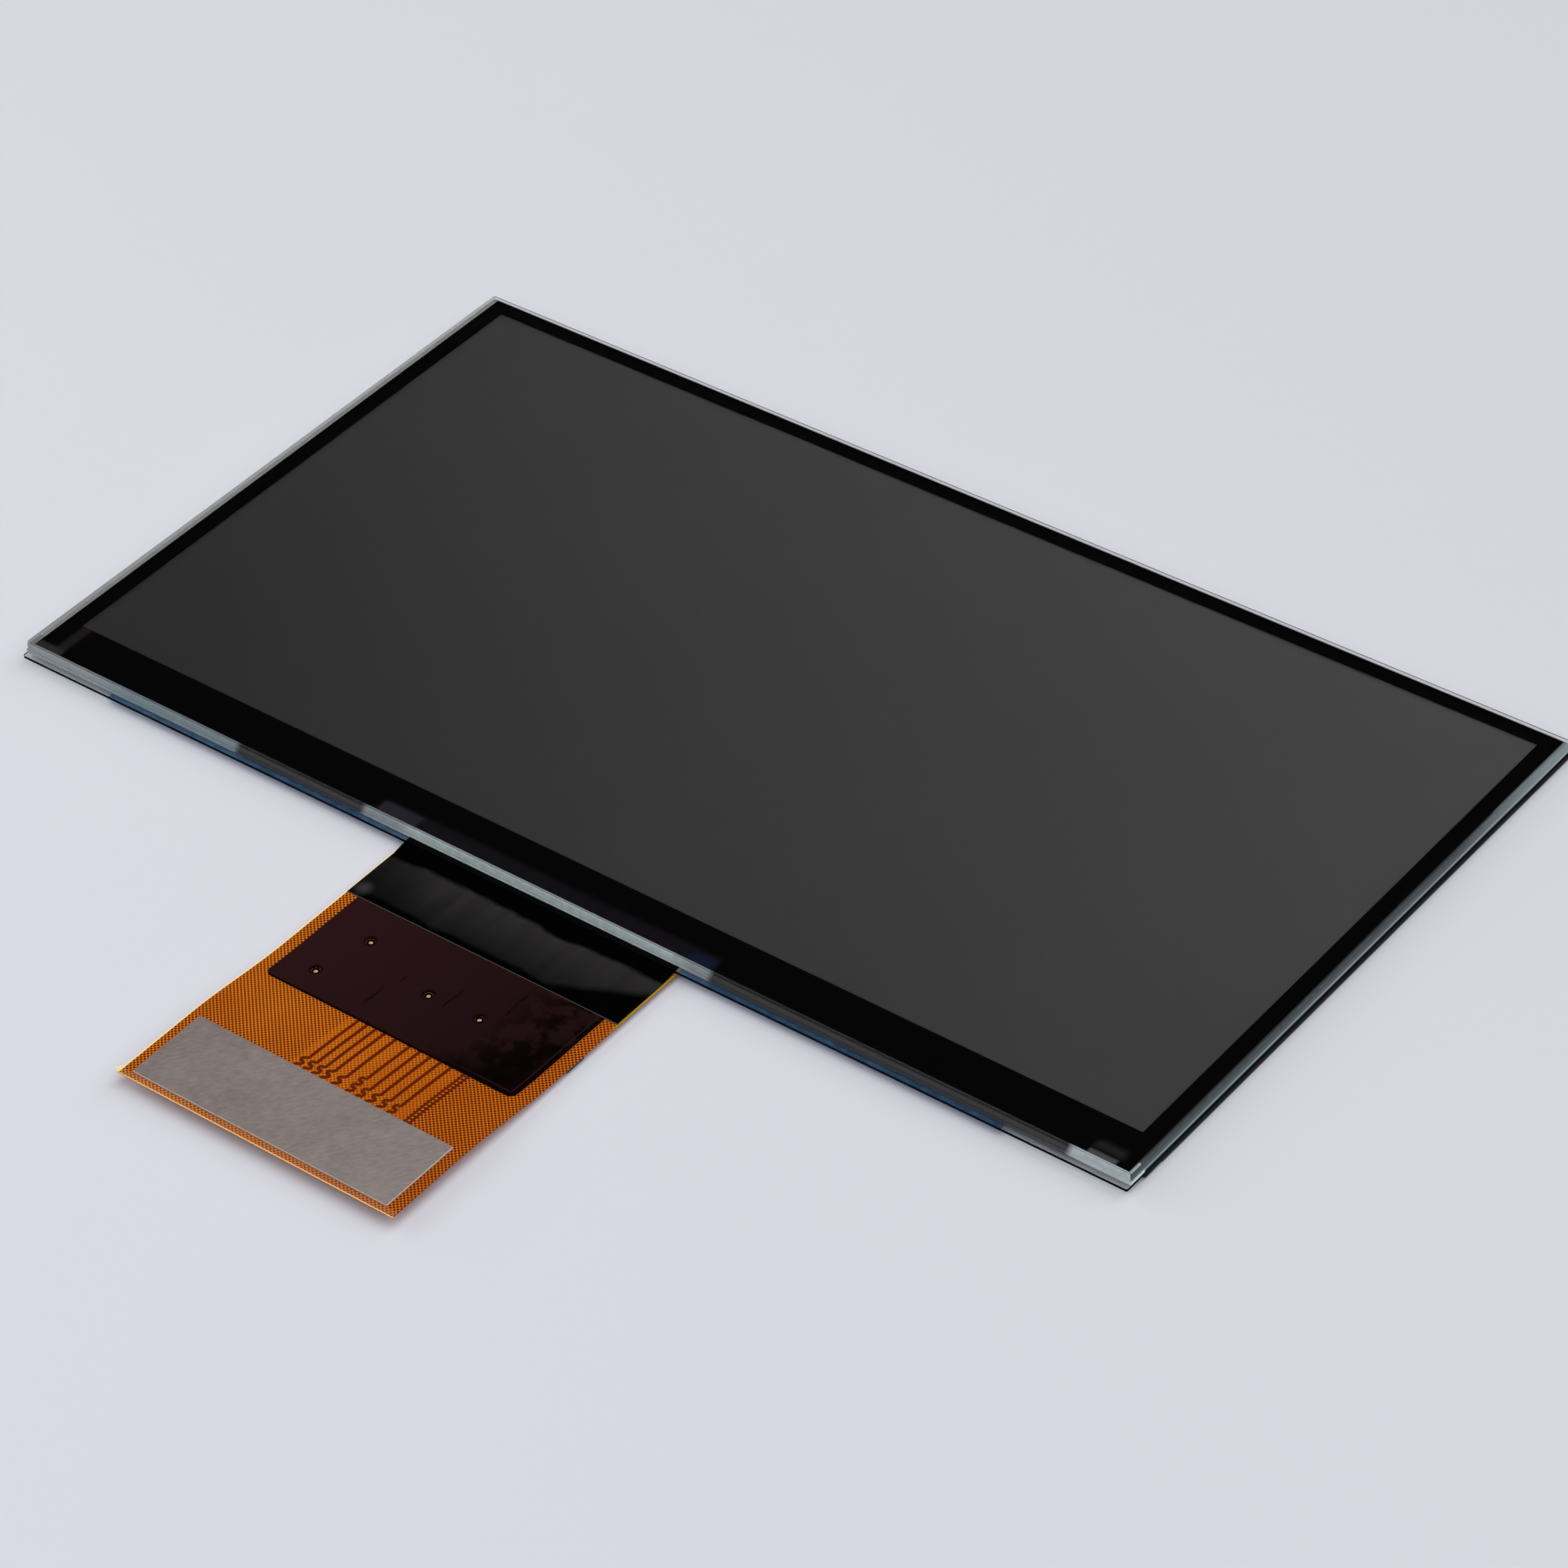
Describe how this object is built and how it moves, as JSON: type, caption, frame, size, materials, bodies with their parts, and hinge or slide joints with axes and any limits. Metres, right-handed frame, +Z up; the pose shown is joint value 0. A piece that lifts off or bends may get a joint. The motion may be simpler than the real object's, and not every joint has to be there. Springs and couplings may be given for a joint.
{
  "type": "resin printer lcd screen",
  "caption": "Flat liquid crystal masking screen for a resin printer: bonded glass panel with a black border and a short flexible tail with a steel-backed plug.",
  "frame": {"origin": "centre of the panel's rear face, on the surface that the panel lies on", "axes": "+X along the panel's long side, +Y away from the tail, +Z up through the layers to the cover glass"},
  "size_m": [0.1608, 0.1346, 0.0027],
  "materials": {
    "cover_glass": "polished faces, ground edges",
    "black_ink": "printed ink",
    "clear_adhesive": "clear",
    "polarizer": "smooth film",
    "panel_glass": "polished",
    "seal_resin": "cured resin",
    "liquid_crystal": "clear fluid",
    "clear_resin": "clear cured resin",
    "silicon": "polished",
    "black_tape": "glossy film",
    "blue_sealant": "cured resin",
    "bond_film": "cured film",
    "polyimide": "satin film",
    "copper": "rolled copper foil",
    "gold_plating": "plated",
    "shield_film": "glossy film",
    "glue": "cured glue",
    "steel": "matte rolled",
    "plug_plastic": "moulded",
    "tin_plating": "matte tin",
    "chip_plastic": "moulded",
    "capacitor_ceramic": "fired"
  },
  "bodies": {
    "root": {"cover_glass": "cover_glass", "border_print": "black_ink", "optical_adhesive": "clear_adhesive", "front_polarizer": "polarizer", "front_glass": "panel_glass", "cell_seal": "seal_resin", "liquid_crystal": "liquid_crystal", "array_glass": "panel_glass", "rear_polarizer": "polarizer", "ledge_filler": "clear_resin", "driver_chips": "silicon", "shade_tapes": "black_tape", "edge_sealant": "blue_sealant", "bond_strip": "bond_film", "flex_base": "polyimide", "flex_copper": "copper", "flex_coverlay": "polyimide", "ground_pads": "gold_plating", "bond_tape": "black_tape", "shield_film": "shield_film", "stiffener_glue": "glue", "stiffener_plate": "steel", "plug_housing": "plug_plastic", "plug_contacts": "gold_plating", "plug_clips": "tin_plating", "memory_chip": "chip_plastic", "chip_capacitors": "capacitor_ceramic", "capacitor_ends": "tin_plating"}
  },
  "joints": []
}
